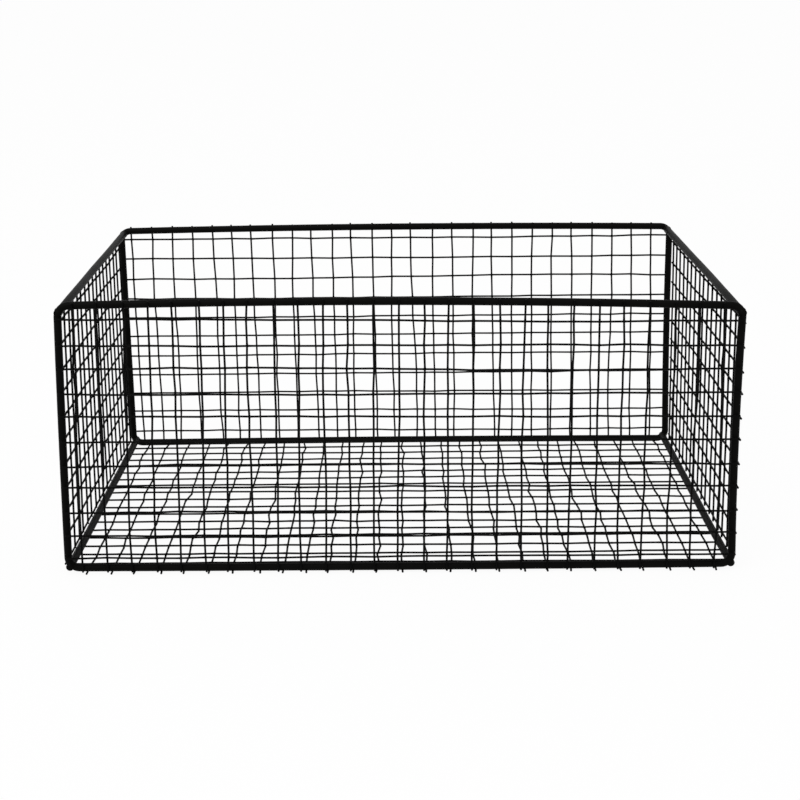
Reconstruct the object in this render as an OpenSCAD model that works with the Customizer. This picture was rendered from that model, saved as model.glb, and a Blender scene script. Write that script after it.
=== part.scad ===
// Open wire locker basket: two bent wire frames joined by four straight rails,
// with welded square mesh on the front, back, sides and floor.
// X runs left to right, Y front to back, Z up. The basket stands on z = 0.

/* [Basket] */
// Width over the frame wire, left to right
basket_width = 351.5; // [240:0.5:460]
// Depth over the two frames, front to back
basket_depth = 225; // [140:1:340]
// Height over the frame wire, bottom bar to rim
basket_height = 144; // [90:1:240]

/* [Frame wire] */
// Thickness of the frame and rail wire with its coating
frame_wire = 4.1; // [2.5:0.1:5]
// Bend radius at the frame corners, to the middle of the wire
corner_bend = 5.7; // [4:0.1:12]
// Radius of the weld bead round each rail end
weld_bead = 1.1; // [0.6:0.1:1.5]

/* [Mesh] */
// Thickness of the mesh wire with its coating
mesh_wire = 1.05; // [0.6:0.05:1.4]
// Side of one mesh square, from wire to wire
mesh_cell = 12.7; // [9:0.1:20]
// Play between two wires where a spot weld holds them
weld_play = 0.02; // [0.01:0.01:0.06]

/* [Mesh placing] */
// From the left post to the first upright of the front mesh
first_front_upright = 7.8; // [6:0.1:12]
// From the left post to the first upright of the back mesh
first_back_upright = 6.2; // [6:0.1:12]
// From the left post to the first long wire of the floor
first_long_wire = 9.7; // [6:0.1:12]
// From the back frame to the first cross wire of the floor
first_cross_wire = 7.8; // [6:0.1:12]
// From the top bar down to the first level wire of the front mesh
first_front_wire = 6.8; // [5:0.1:9]
// From the top bar down to the first level wire of the back mesh
first_back_wire = 6.3; // [5:0.1:9]
// From the top bar down to the first level wire of the left mesh
first_left_wire = 11.2; // [8:0.1:13]
// From the top bar down to the first level wire of the right mesh
first_right_wire = 9.6; // [8:0.1:13]
// From the back frame to the first upright of the left mesh
first_left_upright = 8; // [6:0.1:14]
// From the back frame to the first upright of the right mesh
first_right_upright = 11; // [6:0.1:14]

/* [Wire ends] */
// How far the floor's long wires stand out past the frames
floor_tip = 0.7; // [0:0.1:1.2]
// How far the back uprights stand up past the rim
back_tip = 0.4; // [0:0.1:2]
// How far the front and back mesh and the floor stop short of the frame's outer edge
end_inset = 0.3; // [0:0.1:0.8]
// How far the front and back level wires reach past the middle of the posts
post_lap = 0.5; // [0.3:0.1:1.5]
// How far the side uprights stop short of the middle of the rails
rail_gap = 0.4; // [0:0.1:1.5]

/* [Hidden] */
$fn = 48;

coat_black = [0.10, 0.10, 0.105];
rail_black = [0.14, 0.14, 0.145];
mesh_black = [0.07, 0.07, 0.075];
weld_black = [0.18, 0.18, 0.18];

frame_r = frame_wire / 2;
mesh_r = mesh_wire / 2;

// Middle lines of the frame wire
post_x = basket_width / 2 - frame_r;
frame_y = basket_depth / 2 - frame_r;
low_z = mesh_wire + weld_play + frame_r;
high_z = low_z + basket_height - frame_wire;
mid_z = (low_z + high_z) / 2;

// The rails meet each frame in the middle of its corner bends
bend_inset = corner_bend * (1 - cos(45));
rail_x = post_x - bend_inset;
rail_low_z = low_z + bend_inset;
rail_high_z = high_z - bend_inset;
rail_end_y = frame_y - frame_r - weld_play;

// One mesh wire touches the frame from outside, the next one touches that wire
seat = frame_r + weld_play + mesh_r;
layer = mesh_wire + weld_play;

// The side uprights touch the rails from outside, and the level wires touch the uprights
side_x = rail_x + seat;
side_wire_x = side_x + layer;

// A side level wire ends where its inner edge meets the round of the post
side_lap = side_wire_x - mesh_r - post_x;
side_end_y = frame_y - sqrt(max(0, frame_r * frame_r - side_lap * side_lap)) - weld_play;

// The last wire of a pattern stays this far from the frame's middle line
edge_gap = frame_r + mesh_wire;

front_x = right_places(first_front_upright);
back_x = right_places(first_back_upright);
long_x = right_places(first_long_wire);
left_y = forward_places(first_left_upright);
right_y = forward_places(first_right_upright);
cross_y = forward_places(first_cross_wire);
front_z = down_places(first_front_wire, edge_gap);
back_z = down_places(first_back_wire, edge_gap);
left_z = down_places(first_left_wire, mesh_wire);
right_z = down_places(first_right_wire, mesh_wire);

// Even places one mesh square apart, from a start, as many as the span holds
function places(start, span, way) =
    [for (i = [0 : floor(span / mesh_cell)]) start + way * i * mesh_cell];

// Places from the left post, the back frame and the top bar
function right_places(first) = places(first - post_x, 2 * post_x - first - edge_gap, 1);
function forward_places(first) = places(frame_y - first, 2 * frame_y - first - edge_gap, -1);
function down_places(first, gap) = places(high_z - first, high_z - low_z - first - gap, -1);

// Straight wires, centred on their middle
module wire_x(length, thick) rotate([0, 90, 0]) cylinder(h = length, d = thick, center = true);
module wire_y(length, thick) rotate([90, 0, 0]) cylinder(h = length, d = thick, center = true);
module wire_z(length, thick) cylinder(h = length, d = thick, center = true);

// Quarter bend of the frame wire in the upper right corner of an upright frame
module corner(thick) {
    translate([post_x - corner_bend, 0, high_z - corner_bend])
        rotate([90, 0, 0])
            rotate_extrude(angle = 90)
                translate([corner_bend, 0])
                    circle(d = thick);
}

// Copies of an upper right part in all four corners
module four_corners() {
    for (left = [0, 1])
        for (low = [0, 1])
            mirror([left, 0, 0])
                translate([0, 0, low * 2 * mid_z])
                    mirror([0, 0, low])
                        children();
}

// One wire bent into an upright rectangle with rounded corners
module frame_ring() {
    for (z = [low_z, high_z])
        translate([0, 0, z])
            wire_x(2 * (post_x - corner_bend), frame_wire);
    for (side = [-1, 1])
        translate([side * post_x, 0, mid_z])
            wire_z(high_z - low_z - 2 * corner_bend, frame_wire);
    four_corners()
        corner(frame_wire);
}

module front_frame() {
    color(coat_black)
        translate([0, -frame_y, 0])
            frame_ring();
}

module back_frame() {
    color(coat_black)
        translate([0, frame_y, 0])
            frame_ring();
}

// A rail butts on the inner face of the front and the back frame
module rail(side, z) {
    color(rail_black)
        translate([side * rail_x, 0, z])
            wire_y(2 * rail_end_y, frame_wire);
}

module top_left_rail() rail(-1, rail_high_z);
module top_right_rail() rail(1, rail_high_z);
module bottom_left_rail() rail(-1, rail_low_z);
module bottom_right_rail() rail(1, rail_low_z);

// Bead round the back end of the upper right rail, shaped by the rail and the bend
module upper_right_bead() {
    difference() {
        translate([rail_x, rail_end_y, rail_high_z])
            rotate([90, 0, 0])
                rotate_extrude()
                    translate([frame_r, 0])
                        circle(r = weld_bead);
        translate([rail_x, rail_end_y - basket_depth / 4, rail_high_z])
            wire_y(basket_depth / 2, frame_wire + 2 * weld_play);
        translate([0, frame_y, 0])
            corner(frame_wire + 2 * weld_play);
    }
}

// The two beads, left and right, on one frame at the top or at the bottom
module bead_pair(back, top) {
    color(weld_black)
        for (left = [0, 1])
            mirror([left, 0, 0])
                mirror([0, back ? 0 : 1, 0])
                    translate([0, 0, top ? 0 : 2 * mid_z])
                        mirror([0, 0, top ? 0 : 1])
                            upper_right_bead();
}

module front_top_welds() bead_pair(false, true);
module front_bottom_welds() bead_pair(false, false);
module back_top_welds() bead_pair(true, true);
module back_bottom_welds() bead_pair(true, false);

// Uprights of the front or back mesh: they cross the outer face of both bars
module face_uprights(side, x_places, tip) {
    foot_z = low_z - frame_r + end_inset;
    head_z = high_z + frame_r + tip;
    color(mesh_black)
        for (x = x_places)
            translate([x, side * (frame_y + seat), (foot_z + head_z) / 2])
                wire_z(head_z - foot_z, mesh_wire);
}

module front_uprights() face_uprights(-1, front_x, -end_inset);
module back_uprights() face_uprights(1, back_x, back_tip);

// Level wires of the front or back mesh: they lie outside the uprights
module face_level_wires(side, z_places) {
    color(mesh_black)
        for (z = z_places)
            translate([0, side * (frame_y + seat + layer), z])
                wire_x(2 * (post_x + post_lap), mesh_wire);
}

module front_level_wires() face_level_wires(-1, front_z);
module back_level_wires() face_level_wires(1, back_z);

// Uprights of a side mesh: they lie between the rails and the level wires
module side_uprights(side, y_places) {
    color(mesh_black)
        for (y = y_places)
            translate([side * side_x, y, mid_z])
                wire_z(rail_high_z - rail_low_z - 2 * rail_gap, mesh_wire);
}

module left_uprights() side_uprights(-1, left_y);
module right_uprights() side_uprights(1, right_y);

// Level wires of a side mesh: they run from post to post, outside the uprights
module side_level_wires(side, z_places) {
    color(mesh_black)
        for (z = z_places)
            translate([side * side_wire_x, 0, z])
                wire_y(2 * side_end_y, mesh_wire);
}

module left_level_wires() side_level_wires(-1, left_z);
module right_level_wires() side_level_wires(1, right_z);

// Long wires of the floor: they run from front to back under both bottom bars
module floor_long_wires() {
    color(mesh_black)
        for (x = long_x)
            translate([x, 0, low_z - seat])
                wire_y(2 * (frame_y + frame_r + floor_tip), mesh_wire);
}

// Cross wires of the floor: they lie on the long wires, under the bottom rails
module floor_cross_wires() {
    color(mesh_black)
        for (y = cross_y)
            translate([0, y, low_z - seat + layer])
                wire_x(2 * (rail_x + frame_r - end_inset), mesh_wire);
}

front_frame();
back_frame();
top_left_rail();
top_right_rail();
bottom_left_rail();
bottom_right_rail();
front_top_welds();
front_bottom_welds();
back_top_welds();
back_bottom_welds();
front_uprights();
front_level_wires();
back_uprights();
back_level_wires();
left_uprights();
left_level_wires();
right_uprights();
right_level_wires();
floor_long_wires();
floor_cross_wires();
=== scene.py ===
import math

import bpy
import numpy as np
from mathutils import Matrix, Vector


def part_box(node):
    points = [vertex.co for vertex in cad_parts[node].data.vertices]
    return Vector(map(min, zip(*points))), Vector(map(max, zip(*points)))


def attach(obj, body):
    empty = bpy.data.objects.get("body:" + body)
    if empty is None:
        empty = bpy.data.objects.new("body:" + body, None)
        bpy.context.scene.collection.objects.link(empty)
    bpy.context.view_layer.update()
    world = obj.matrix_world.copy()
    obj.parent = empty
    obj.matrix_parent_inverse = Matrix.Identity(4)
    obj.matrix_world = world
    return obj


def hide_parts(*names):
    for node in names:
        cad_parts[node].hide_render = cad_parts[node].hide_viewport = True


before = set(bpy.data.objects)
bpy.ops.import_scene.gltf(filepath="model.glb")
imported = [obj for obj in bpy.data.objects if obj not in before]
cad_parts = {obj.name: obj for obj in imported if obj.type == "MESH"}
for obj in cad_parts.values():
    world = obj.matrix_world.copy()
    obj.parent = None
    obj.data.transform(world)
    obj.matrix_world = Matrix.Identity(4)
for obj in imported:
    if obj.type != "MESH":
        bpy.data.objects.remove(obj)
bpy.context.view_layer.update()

# A black wire locker basket. Lengths are in metres: X left to right, Y front to back, Z up.
# Every wire is swept along its own middle line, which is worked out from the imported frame
# and then bent a little, as the real wire is.

print("stage: sizes from the frame")


# The box of a node as two arrays, its lowest and its highest corner
def nodeBox(node):
    return [np.array(corner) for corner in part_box(node)]


frontBox = nodeBox("front_frame")
backBox = nodeBox("back_frame")
railBox = nodeBox("top_right_rail")

frameRadius = (frontBox[1][1] - frontBox[0][1]) / 2
postX = frontBox[1][0] - frameRadius
lowZ = frontBox[0][2] + frameRadius
highZ = frontBox[1][2] - frameRadius
midZ = (lowZ + highZ) / 2
frontY = (frontBox[0][1] + frontBox[1][1]) / 2
backY = (backBox[0][1] + backBox[1][1]) / 2
railX = (railBox[0][0] + railBox[1][0]) / 2
railHighZ = (railBox[0][2] + railBox[1][2]) / 2
railLowZ = lowZ + highZ - railHighZ
railEndY = railBox[1][1]
cornerBend = (postX - railX) / (1 - math.cos(math.pi / 4))


print("stage: how the real basket is bent")

# How far each corner stands from a true box, in x and z
cornerShift = {
    "frontLowLeft": (-0.00085, 0.0004),
    "frontLowRight": (0.00025, 0.00025),
    "frontHighLeft": (0.00046, 0.0014),
    "frontHighRight": (0.0005, -0.00075),
    "backLowLeft": (0.0008, 0.0001),
    "backLowRight": (0.0005, 0.0007),
    "backHighLeft": (-0.0014, 0.0001),
    "backHighRight": (-0.0012, 0.0012),
}

# How far the middle of each run of a frame stands from a straight line
frameBow = {
    "front_frame": {"top": 0.0024, "low": -0.0004, "left": -0.0003, "right": -0.00106},
    "back_frame": {"top": 0.0014, "low": 0.0006, "left": 0.0, "right": -0.0006},
}


# Every point moves by the shifts of the eight corners, mixed in proportion to how near
# it is to each of them along x, y and z
def settle(points):
    rightPart = (points[..., 0] + postX) / (2 * postX)
    backPart = (points[..., 1] - frontY) / (backY - frontY)
    highPart = (points[..., 2] - lowZ) / (highZ - lowZ)
    moved = points.copy()
    for name, (shiftX, shiftZ) in cornerShift.items():
        share = (rightPart if name.endswith("Right") else 1 - rightPart)
        share = share * (backPart if name.startswith("back") else 1 - backPart)
        share = share * (highPart if "High" in name else 1 - highPart)
        moved[..., 0] += share * shiftX
        moved[..., 2] += share * shiftZ
    return moved


# A bar's height changes by bow * (1 - (x / half width)^2), the upper bar's by the upper
# bow and the lower bar's by the lower one, mixed in between by height
def barLift(x, z, bow):
    highPart = np.clip((z - lowZ) / (highZ - lowZ), 0, 1)
    arch = np.clip(1 - (x / postX) ** 2, 0, 1)
    return arch * (bow["top"] * highPart + bow["low"] * (1 - highPart))


# A frame's line with its bars arched, and its posts pushed sideways by
# bow * (1 - (height from the middle / half height)^2)
def bowFrame(points, bow):
    x, z = points[..., 0], points[..., 2]
    bent = points.copy()
    bent[..., 2] += barLift(x, z, bow)
    belly = np.clip(1 - ((z - midZ) / (highZ - midZ)) ** 2, 0, 1)
    rightPart = np.clip((x + postX) / (2 * postX), 0, 1)
    bent[..., 0] += belly * (bow["right"] * rightPart + bow["left"] * (1 - rightPart))
    return bent


print("stage: finishes")


# A shader socket that takes part in sums: each operator adds a Math node
class Link:
    def __init__(self, graph, socket):
        self.graph = graph
        self.socket = socket

    def maths(self, operation, first, second):
        return self.graph.node("ShaderNodeMath", {"operation": operation}, {0: first, 1: second})

    def __add__(self, other):
        return self.maths("ADD", self, other)

    def __radd__(self, other):
        return self.maths("ADD", other, self)

    def __sub__(self, other):
        return self.maths("SUBTRACT", self, other)

    def __rsub__(self, other):
        return self.maths("SUBTRACT", other, self)

    def __mul__(self, other):
        return self.maths("MULTIPLY", self, other)

    def __rmul__(self, other):
        return self.maths("MULTIPLY", other, self)


# The nodes of one material or of the world
class Graph:
    def __init__(self, tree):
        self.tree = tree
        tree.nodes.clear()

    # Adds a node: its type, its settings, the values or links of its sockets, and which
    # of its outputs is wanted
    def node(self, kind, settings, inputs, output=0):
        made = self.tree.nodes.new(kind)
        for name, value in settings.items():
            setattr(made, name, value)
        for name, value in inputs.items():
            if isinstance(value, Link):
                self.tree.links.new(value.socket, made.inputs[name])
            else:
                made.inputs[name].default_value = value
        return Link(self, made.outputs[output]) if len(made.outputs) else made


# A new material's graph
def newMaterial(name):
    material = bpy.data.materials.new(name)
    material.use_nodes = True
    return material, Graph(material.node_tree)


# What the three coats share; scales are per metre
powderCoat = {
    "gloss": 0.035,            # how much it reflects face on; a dead black coat has little
    "patchScale": 60.0,        # patches of thinner and thicker coat
    "patchDetail": 3.0,
    "grainScale": 1500.0,      # the fine peel of the powder
    "grainDetail": 2.0,
    "dimpleScale": 420.0,      # slow dimples under it
    "dimpleDetail": 1.0,
    "noiseRoughness": 0.55,
    "patchOnRoughness": 0.16,  # how much the patches change the roughness
    "grainOnRoughness": 0.1,
    "grainOnHeight": 0.6,      # how much of the relief is grain
    "dimpleOnHeight": 0.4,
    "reliefDepth": 0.00012,
}

coats = {
    # The frame coat's warm tint, which the rails carry too, is painted warm reflection; its
    # patches are the coat's own tone
    "frame_coat": {"name": "frameCoatAndWarmSheen", "dark": (0.001, 0.001, 0.0009),
                   "light": (0.0035, 0.0033, 0.0029), "roughness": 0.5, "peel": 0.35},
    "mesh_coat": {"name": "meshCoat", "dark": (0.0009, 0.0009, 0.0009),
                  "light": (0.0028, 0.0027, 0.0026), "roughness": 0.54, "peel": 0.3},
    # The weld coat's two tones are lighter and warmer than the frame's: painted highlight of the
    # light falling on the rail ends, where the welds sit
    "weld_coat": {"name": "weldCoat", "dark": (0.003, 0.0028, 0.0025),
                  "light": (0.009, 0.0084, 0.0075), "roughness": 0.52, "peel": 0.6},
}


# Black powder coat: the colour mixes between two near-blacks with soft patches, the
# roughness follows the patches and the grain, and grain and dimples raise the surface
def coatMaterial(coat):
    material, graph = newMaterial(coat["name"])
    place = graph.node("ShaderNodeTexCoord", {}, {}, "Object")

    def noise(kind):
        return graph.node("ShaderNodeTexNoise", {}, {
            "Vector": place,
            "Scale": powderCoat[kind + "Scale"],
            "Detail": powderCoat[kind + "Detail"],
            "Roughness": powderCoat["noiseRoughness"]}, "Fac")

    patch, grain, dimple = noise("patch"), noise("grain"), noise("dimple")
    colour = graph.node("ShaderNodeMix", {"data_type": "RGBA"}, {
        0: patch, 6: (*coat["dark"], 1), 7: (*coat["light"], 1)}, 2)
    height = powderCoat["grainOnHeight"] * grain + powderCoat["dimpleOnHeight"] * dimple
    relief = graph.node("ShaderNodeBump", {}, {
        "Strength": coat["peel"], "Distance": powderCoat["reliefDepth"], "Height": height})
    roughness = (coat["roughness"] + powderCoat["patchOnRoughness"] * (patch - 0.5)
                 + powderCoat["grainOnRoughness"] * (grain - 0.5))
    shader = graph.node("ShaderNodeBsdfPrincipled", {}, {
        "Base Color": colour,
        "Roughness": roughness,
        "Specular IOR Level": powderCoat["gloss"],
        "Normal": relief})
    graph.node("ShaderNodeOutputMaterial", {}, {"Surface": shader})
    return material


finishes = {slot: coatMaterial(coat) for slot, coat in coats.items()}


print("stage: wire making")


# Sweeps a circle along each middle line. lines has the shape (wires, rings, 3) and radii
# (wires, rings). A ring's point is: middle + radius * (cos angle * side + sin angle * up),
# where side is the given direction made square to the line, and up is line x side. An
# open wire ends in a flat face, a closed one joins its last ring to its first.
def sweep(lines, radii, side, sides, closed=False):
    wires, rings = radii.shape
    if closed:
        along = np.roll(lines, -1, axis=1) - np.roll(lines, 1, axis=1)
    else:
        along = np.gradient(lines, axis=1)
    along /= np.linalg.norm(along, axis=2, keepdims=True)
    first = np.broadcast_to(np.array(side, float), along.shape)
    first = first - (first * along).sum(axis=2, keepdims=True) * along
    first /= np.linalg.norm(first, axis=2, keepdims=True)
    second = np.cross(along, first)
    angle = np.linspace(0, 2 * math.pi, sides, endpoint=False)[None, None, :, None]
    points = lines[:, :, None, :] + radii[:, :, None, None] * (
        np.cos(angle) * first[:, :, None, :] + np.sin(angle) * second[:, :, None, :])

    number = np.arange(wires * rings * sides).reshape(wires, rings, sides)
    beside = np.roll(number, -1, axis=2)
    if closed:
        walls = [number, beside, np.roll(beside, -1, axis=1), np.roll(number, -1, axis=1)]
    else:
        walls = [number[:, :-1], beside[:, :-1], beside[:, 1:], number[:, 1:]]
    faces = np.stack(walls, axis=-1).reshape(-1, 4).tolist()
    if not closed:
        faces += number[:, 0, ::-1].tolist() + number[:, -1, :].tolist()
    return points.reshape(-1, 3), faces


# Puts vertices and faces into a piece that stands for a node and has its finish
def putPiece(name, points, faces, slot, node):
    mesh = bpy.data.meshes.new(name)
    mesh.from_pydata(points.tolist(), [], faces)
    mesh.shade_smooth()
    mesh.materials.append(finishes[slot])
    piece = bpy.data.objects.new(name, mesh)
    bpy.context.scene.collection.objects.link(piece)
    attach(piece, "root")
    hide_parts(node)


# A slow unevenness along each wire, from -1 to 1: the mean of one sine for each wave
# length, sin(2 pi * length along the wire / wave length + a random phase)
def unevenness(random, wires, along, waves):
    phase = random.uniform(0, 2 * math.pi, (wires, 1, len(waves)))
    pace = 2 * math.pi / np.array(waves)
    return np.sin(along[..., None] * pace + phase).mean(axis=2)


print("stage: frames")

frameWire = {
    "sides": 24,
    "bendRings": 11,
    "runRings": 44,
    "unevenness": 0.012,   # of the radius
    "waves": (0.031, 0.047, 0.012),
}


# The middle line of a frame: each quarter bend is centre + bend * (cos angle, sin angle),
# and points at even steps fill the straight runs between one bend and the next
def frameLine(y):
    turn = np.linspace(0, math.pi / 2, frameWire["bendRings"])
    angle = np.arange(4)[:, None] * math.pi / 2 + turn[None, :]
    centreX = (postX - cornerBend) * np.array([1, -1, -1, 1])[:, None]
    centreZ = midZ + (highZ - midZ - cornerBend) * np.array([1, 1, -1, -1])[:, None]
    bends = np.stack([centreX + cornerBend * np.cos(angle),
                      centreZ + cornerBend * np.sin(angle)], axis=-1)
    step = np.linspace(0, 1, frameWire["runRings"] + 2)[None, 1:-1, None]
    start, end = bends[:, -1:, :], np.roll(bends, -1, axis=0)[:, :1, :]
    outline = np.concatenate([bends, start + step * (end - start)], axis=1).reshape(-1, 2)
    return np.stack([outline[:, 0], np.full(len(outline), y), outline[:, 1]], axis=-1)


# A frame wire with its own bows, swept round the whole rectangle
def makeFrame(node, y, seed):
    random = np.random.default_rng(seed)
    line = settle(bowFrame(frameLine(y), frameBow[node]))[None]
    steps = np.diff(line, axis=1, prepend=line[:, :1])
    length = np.cumsum(np.linalg.norm(steps, axis=2), axis=1)
    rough = unevenness(random, 1, length, frameWire["waves"])
    radii = frameRadius * (1 + frameWire["unevenness"] * rough)
    points, faces = sweep(line, radii, (0, 1, 0), frameWire["sides"], closed=True)
    putPiece(node + "_wire", points, faces, "frame_coat", node)


makeFrame("front_frame", frontY, 3)
makeFrame("back_frame", backY, 4)


print("stage: rails and weld beads")

railWire = {
    "sides": 24,
    "rings": 40,
    "unevenness": 0.012,
    "waves": (0.026, 0.041, 0.011),
    "sway": 0.00012,                # how far it wanders from straight
    "swayWaves": (0.09, 0.15),
    "overlap": 0.0041,              # how far its ends run into the frame wire
    "pushTop": (0.0013, -0.0018),   # how far a top rail's front end stands outward and up
    "pushLow": (0.0008, -0.0007),   # the same for a bottom rail
    "pushLength": 0.05,             # the stretch of the rail that this bends
}

weldBead = {
    "sides": 24,
    "rings": 14,
    "reach": 0.0024,     # how far the bead runs along the rail
    "bury": 0.0017,      # how far it runs into the frame wire
    "start": 0.985,      # its radius at its thin end, of the rail's
    "swell": 0.0003,     # how much wider it is at the frame
    "swellPower": 1.6,
    "shrink": 0.75,      # how much of the swell it has lost at its buried end
    "lumps": 0.07,       # unevenness round it, of its radius
    "lobes": (3, 5),     # how many lumps go round it, in two sets
    "lobeHeights": (1.0, 0.6),
}


# A line at a rail moves outward and up by push * (1 - distance from the front end / push
# length)^2, so only its front stretch bends
def pushFront(lines, z):
    outward, upward = railWire["pushTop" if z > midZ else "pushLow"]
    near = np.clip(1 - (lines[..., 1] + railEndY) / railWire["pushLength"], 0, 1) ** 2
    lines[..., 0] += np.sign(lines[..., 0]) * outward * near
    lines[..., 2] += upward * near


# A rail from frame to frame, with a slight sway: sway * unevenness
def makeRail(node, x, z, seed):
    random = np.random.default_rng(seed)
    end = railEndY + railWire["overlap"]
    y = np.linspace(-end, end, railWire["rings"])
    line = np.stack([np.full_like(y, x), y, np.full_like(y, z)], axis=-1)[None]
    line[..., 0] += railWire["sway"] * unevenness(random, 1, y[None], railWire["swayWaves"])
    pushFront(line, z)
    rough = unevenness(random, 1, y[None], railWire["waves"])
    radii = frameRadius * (1 + railWire["unevenness"] * rough)
    points, faces = sweep(settle(line), radii, (0, 0, 1), railWire["sides"])
    putPiece(node + "_wire", points, faces, "frame_coat", node)


for node, x, z, seed in (("top_left_rail", -railX, railHighZ, 5),
                         ("top_right_rail", railX, railHighZ, 6),
                         ("bottom_left_rail", -railX, railLowZ, 7),
                         ("bottom_right_rail", railX, railLowZ, 8)):
    makeRail(node, x, z, seed)


# A pair of beads, left and right, on one frame. The radius of a bead is: rail radius *
# start + swell * (1 - distance from the frame / reach)^power. Inside the frame wire it
# loses shrink * (depth / bury)^2 of the swell. Round the bead the radius changes by lumps
# * the sum of height * sin(lobes * angle + phase), with the heights divided by their sum.
def makeBeads(node, end, z, seed):
    random = np.random.default_rng(seed)
    far = np.linspace(weldBead["reach"], -weldBead["bury"], weldBead["rings"])
    along = np.clip(1 - far / weldBead["reach"], 0, 1) ** weldBead["swellPower"]
    inside = np.clip(-far / weldBead["bury"], 0, 1)
    swelling = weldBead["swell"] * along * (1 - weldBead["shrink"] * inside ** 2)
    radius = frameRadius * weldBead["start"] + swelling
    lines = np.zeros((2, len(far), 3))
    lines[0, :, 0], lines[1, :, 0] = -railX, railX
    lines[:, :, 1] = end * (railEndY - far)
    lines[:, :, 2] = z
    pushFront(lines, z)
    points, faces = sweep(settle(lines), np.tile(radius, (2, 1)), (0, 0, 1), weldBead["sides"])
    rings = points.reshape(2, len(far), weldBead["sides"], 3)
    middle = rings.mean(axis=2, keepdims=True)
    angle = np.linspace(0, 2 * math.pi, weldBead["sides"], endpoint=False)[None, None, :, None]
    phase = random.uniform(0, 2 * math.pi, (2, 1, 1, 1))
    (coarse, fine), (high, low) = weldBead["lobes"], weldBead["lobeHeights"]
    lump = high * np.sin(coarse * angle + phase) + low * np.sin(fine * angle + 2 * phase)
    widening = 1 + weldBead["lumps"] * along[None, :, None, None] * lump / (high + low)
    points = (middle + (rings - middle) * widening).reshape(-1, 3)
    putPiece(node + "_beads", points, faces, "weld_coat", node)


for node, end, z, seed in (("front_top_welds", -1, railHighZ, 21),
                           ("front_bottom_welds", -1, railLowZ, 22),
                           ("back_top_welds", 1, railHighZ, 23),
                           ("back_bottom_welds", 1, railLowZ, 24)):
    makeBeads(node, end, z, seed)


print("stage: mesh")

meshWire = {
    "sides": 8,
    "cell": 0.0127,            # one mesh square, from wire to wire
    "coat": 1.05,              # the coated radius, of the radius in the frame
    "weldSwell": 0.14,         # how much thicker it is where two wires are welded
    "weldWidth": 0.0006,
    "unevenness": 0.02,
    "waves": (0.017, 0.007),
    "ringsAtWeld": (-0.0013, -0.0006, 0.0, 0.0006, 0.0013),
    "endRings": (0.0, 0.00006, 0.0002, 0.0005),   # where its cut ends have rings
    "endRound": (0.55, 0.86, 1.02, 1.0),          # and the radius there
    "endClear": 0.00075,       # rings of a weld stay this far from a cut end
}

# Each set of mesh wires: the axis that it runs along, the axis that it is spaced along,
# the set that it is welded to, how far its wires lean, wave and kink, and their seed.
# Some tops of the back uprights are shorter, by up to shortTops.
meshSets = {
    "front_uprights": {"along": 2, "across": 0, "meets": "front_level_wires",
                       "lean": 0.0005, "wave": 0.0003, "kink": 0.00022, "seed": 31},
    "front_level_wires": {"along": 0, "across": 2, "meets": "front_uprights",
                          "lean": 0.0004, "wave": 0.0003, "kink": 0.00016, "seed": 32},
    "back_uprights": {"along": 2, "across": 0, "meets": "back_level_wires",
                      "lean": 0.0006, "wave": 0.0003, "kink": 0.0002, "seed": 33,
                      "shortTops": 0.0009},
    "back_level_wires": {"along": 0, "across": 2, "meets": "back_uprights",
                         "lean": 0.0004, "wave": 0.0003, "kink": 0.00016, "seed": 34},
    "left_uprights": {"along": 2, "across": 1, "meets": "left_level_wires",
                      "lean": 0.0006, "wave": 0.0003, "kink": 0.0002, "seed": 35},
    "left_level_wires": {"along": 1, "across": 2, "meets": "left_uprights",
                         "lean": 0.0004, "wave": 0.0003, "kink": 0.0002, "seed": 36},
    "right_uprights": {"along": 2, "across": 1, "meets": "right_level_wires",
                       "lean": 0.0006, "wave": 0.0003, "kink": 0.0002, "seed": 37},
    "right_level_wires": {"along": 1, "across": 2, "meets": "right_uprights",
                          "lean": 0.0004, "wave": 0.0003, "kink": 0.0002, "seed": 38},
    "floor_long_wires": {"along": 1, "across": 0, "meets": "floor_cross_wires",
                         "lean": 0.0005, "wave": 0.0004, "kink": 0.0005, "seed": 39},
    "floor_cross_wires": {"along": 0, "across": 1, "meets": "floor_long_wires",
                          "lean": 0.0005, "wave": 0.0004, "kink": 0.0003, "seed": 40},
}


# The axis that is square to a wall, and half the box's thickness along it
def wallAxis(node):
    flat = 3 - meshSets[node]["along"] - meshSets[node]["across"]
    low, high = nodeBox(node)
    return flat, (high[flat] - low[flat]) / 2


# The middle lines of a node's wires along its spacing axis: from its box, one cell apart
def wirePlaces(node):
    low, high = nodeBox(node)
    across = meshSets[node]["across"]
    radius = wallAxis(node)[1]
    first, last = low[across] + radius, high[across] - radius
    return np.linspace(first, last, round((last - first) / meshWire["cell"]) + 1)


# Where a wire has rings: a few round each weld, and close together at its cut ends
def ringPlaces(start, end, welds):
    near = (welds[:, None] + np.array(meshWire["ringsAtWeld"])[None, :]).ravel()
    tip = np.array(meshWire["endRings"])
    inner = near[(near > start + meshWire["endClear"]) & (near < end - meshWire["endClear"])]
    return np.concatenate([start + tip, np.sort(inner), (end - tip)[::-1]])


# Each wire's distance from its true line, in the plane of its wall: a lean from end to
# end, two slow sines, and kinks at the welds that run straight from one to the next
def wander(random, wires, rings, welds, setting):
    part = (rings - rings[0]) / (rings[-1] - rings[0])
    lean = random.normal(0, setting["lean"], (wires, 2))
    slow = random.normal(0, setting["wave"], (wires, 2))
    knots = np.concatenate([[rings[0]], np.sort(welds), [rings[-1]]])
    spacing = meshWire["cell"]
    hat = np.clip(1 - np.abs(rings[:, None] - knots[None, :]) / spacing, 0, 1)
    kinks = random.normal(0, setting["kink"], (wires, len(knots))) @ hat.T
    return (lean[:, :1] * (1 - part) + lean[:, 1:] * part + kinks
            + slow[:, :1] * np.sin(math.pi * part) + slow[:, 1:] * np.sin(2 * math.pi * part))


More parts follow.
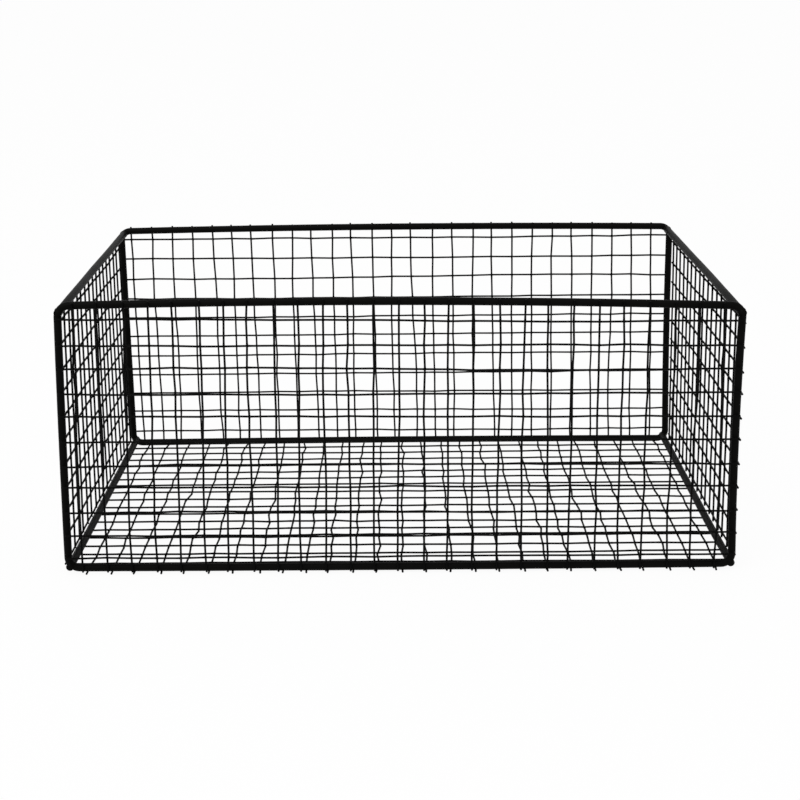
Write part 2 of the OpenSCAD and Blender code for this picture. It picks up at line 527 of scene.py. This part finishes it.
# How far along a wire's last stretch a ring is, past its outermost weld: 0 to 1
def pastWelds(rings, welds):
    up = np.clip((rings - welds.max()) / (rings[-1] - welds.max()), 0, 1)
    down = np.clip((welds.min() - rings) / (welds.min() - rings[0]), 0, 1)
    return up, down


# Past its last weld an upright is longer by as much as the bar there is arched
def endLift(lines, up, down, bow):
    x = lines[:, :1, 0]
    topLift = barLift(x, np.full_like(x, highZ), bow)
    lowLift = barLift(x, np.full_like(x, lowZ), bow)
    return topLift * up + lowLift * down


# One set of mesh wires. Uprights of the front and back run on to the arched bars. The
# radius is: radius * (coat + weldSwell * exp(-(distance from a weld / width)^2) +
# unevenness), made smaller at the cut ends.
def makeMeshSet(node, setting):
    random = np.random.default_rng(setting["seed"])
    low, high = nodeBox(node)
    along, across = setting["along"], setting["across"]
    flat, radius = wallAxis(node)
    places, welds = wirePlaces(node), wirePlaces(setting["meets"])
    rings = ringPlaces(low[along], high[along], welds)
    wires = len(places)

    lines = np.zeros((wires, len(rings), 3))
    lines[..., along] = rings[None, :]
    lines[..., across] = places[:, None] + wander(random, wires, rings, welds, setting)
    lines[..., flat] = (low[flat] + high[flat]) / 2
    up, down = pastWelds(rings, welds)
    wall = node.split("_")[0] + "_frame"
    if wall in frameBow and along == 2:
        lines[..., 2] += endLift(lines, up, down, frameBow[wall])
    if "shortTops" in setting:
        lines[..., 2] -= random.uniform(0, setting["shortTops"], (wires, 1)) * up

    weld = np.exp(-((rings[:, None] - welds[None, :]) / meshWire["weldWidth"]) ** 2).sum(axis=1)
    rough = unevenness(random, wires, np.tile(rings, (wires, 1)), meshWire["waves"])
    radii = radius * (meshWire["coat"] + meshWire["weldSwell"] * weld
                      + meshWire["unevenness"] * rough)
    shape = np.array(meshWire["endRound"])
    radii[:, :len(shape)] *= shape
    radii[:, -len(shape):] *= shape[::-1]
    facing = np.zeros(3)
    facing[flat] = 1
    points, faces = sweep(settle(lines), radii, facing, meshWire["sides"])
    putPiece(node + "_wires", points, faces, "mesh_coat", node)


for node, setting in meshSets.items():
    makeMeshSet(node, setting)


print("stage: floor, light and camera")

studio = {
    "floorSize": 30.0,
    "floorColour": (0.93, 0.93, 0.93, 1),
    "floorGlow": 0.94,     # the share of plain white where it is seen; the rest holds the shadow
    "skyForShape": 0.75,   # how strongly the white surroundings light the object
    "keyPower": 26.0,
    "keyPlace": (-1.1, -1.5, 2.2),
    "keySize": 1.6,
}


# 1 for what the camera, a reflection or a see-through surface sees, otherwise 0
def whiteForEye(graph):
    seen = graph.node("ShaderNodeLightPath", {}, {}, "Is Camera Ray")
    shine = graph.node("ShaderNodeLightPath", {}, {}, "Is Glossy Ray")
    through = graph.node("ShaderNodeLightPath", {}, {}, "Is Transmission Ray")
    total = seen + shine + through
    return graph.node("ShaderNodeClamp", {}, {"Value": total})


# The floor: white paint that holds a shadow, mixed with plain white where it is seen
def floorMaterial():
    material, graph = newMaterial("paleFloor")
    paint = graph.node("ShaderNodeBsdfDiffuse", {}, {"Color": studio["floorColour"]})
    glow = graph.node("ShaderNodeEmission", {}, {"Color": (1, 1, 1, 1), "Strength": 1.0})
    share = studio["floorGlow"] * whiteForEye(graph)
    mixed = graph.node("ShaderNodeMixShader", {}, {0: share, 1: paint, 2: glow})
    graph.node("ShaderNodeOutputMaterial", {}, {"Surface": mixed})
    return material


half = studio["floorSize"] / 2
floorMesh = bpy.data.meshes.new("floor")
floorMesh.from_pydata([(-half, -half, 0), (half, -half, 0), (half, half, 0), (-half, half, 0)],
                      [], [(0, 1, 2, 3)])
floorMesh.materials.append(floorMaterial())
floor = bpy.data.objects.new("floor", floorMesh)
bpy.context.scene.collection.objects.link(floor)

world = bpy.data.worlds.new("whiteStudio")
bpy.context.scene.world = world
world.use_nodes = True
sky = Graph(world.node_tree)
seenWhite = whiteForEye(sky)
skyLevel = studio["skyForShape"] + (1 - studio["skyForShape"]) * seenWhite
sky.node("ShaderNodeOutputWorld", {}, {"Surface": sky.node(
    "ShaderNodeBackground", {}, {"Color": (1, 1, 1, 1), "Strength": skyLevel})})

keyLight = bpy.data.lights.new("keyLight", "AREA")
keyLight.energy = studio["keyPower"]
keyLight.size = studio["keySize"]
keyLamp = bpy.data.objects.new("keyLamp", keyLight)
keyLamp.location = studio["keyPlace"]
keyLamp.rotation_euler = (-keyLamp.location).to_track_quat("-Z", "Y").to_euler()
bpy.context.scene.collection.objects.link(keyLamp)

eye = {
    "place": (-0.004, -0.940, 0.3301),
    "yaw": 0.30,                   # degrees, to the right
    "pitch": 13.61,                # degrees, down
    "roll": -0.31,
    "focalPixels": 1679.0,
    "imagePixels": 800,
    "centrePixel": (400.5, 332.8),  # where the lens points, from the left and from the top
    "sensorWidth": 36.0,
    "clip": (0.01, 100),
}


# The camera's axes come from turning right, then down, then rolling about the view line
def makeCamera():
    yaw, pitch, roll = (math.radians(eye[turn]) for turn in ("yaw", "pitch", "roll"))
    ahead = np.array([math.sin(yaw) * math.cos(pitch), math.cos(yaw) * math.cos(pitch),
                      -math.sin(pitch)])
    level = np.array([math.cos(yaw), -math.sin(yaw), 0])
    upright = np.cross(level, ahead)
    right = math.cos(roll) * level + math.sin(roll) * upright
    up = -math.sin(roll) * level + math.cos(roll) * upright
    data = bpy.data.cameras.new("camera")
    data.sensor_width = eye["sensorWidth"]
    data.lens = eye["focalPixels"] * eye["sensorWidth"] / eye["imagePixels"]
    data.shift_x = (eye["imagePixels"] / 2 - eye["centrePixel"][0]) / eye["imagePixels"]
    data.shift_y = (eye["centrePixel"][1] - eye["imagePixels"] / 2) / eye["imagePixels"]
    data.clip_start, data.clip_end = eye["clip"]
    camera = bpy.data.objects.new("camera", data)
    axes = np.column_stack([right, up, -ahead, eye["place"]])
    camera.matrix_world = Matrix([*axes.tolist(), [0, 0, 0, 1]])
    bpy.context.scene.collection.objects.link(camera)
    bpy.context.scene.camera = camera


makeCamera()
bpy.context.scene.view_settings.view_transform = "Standard"

bpy.context.view_layer.update()
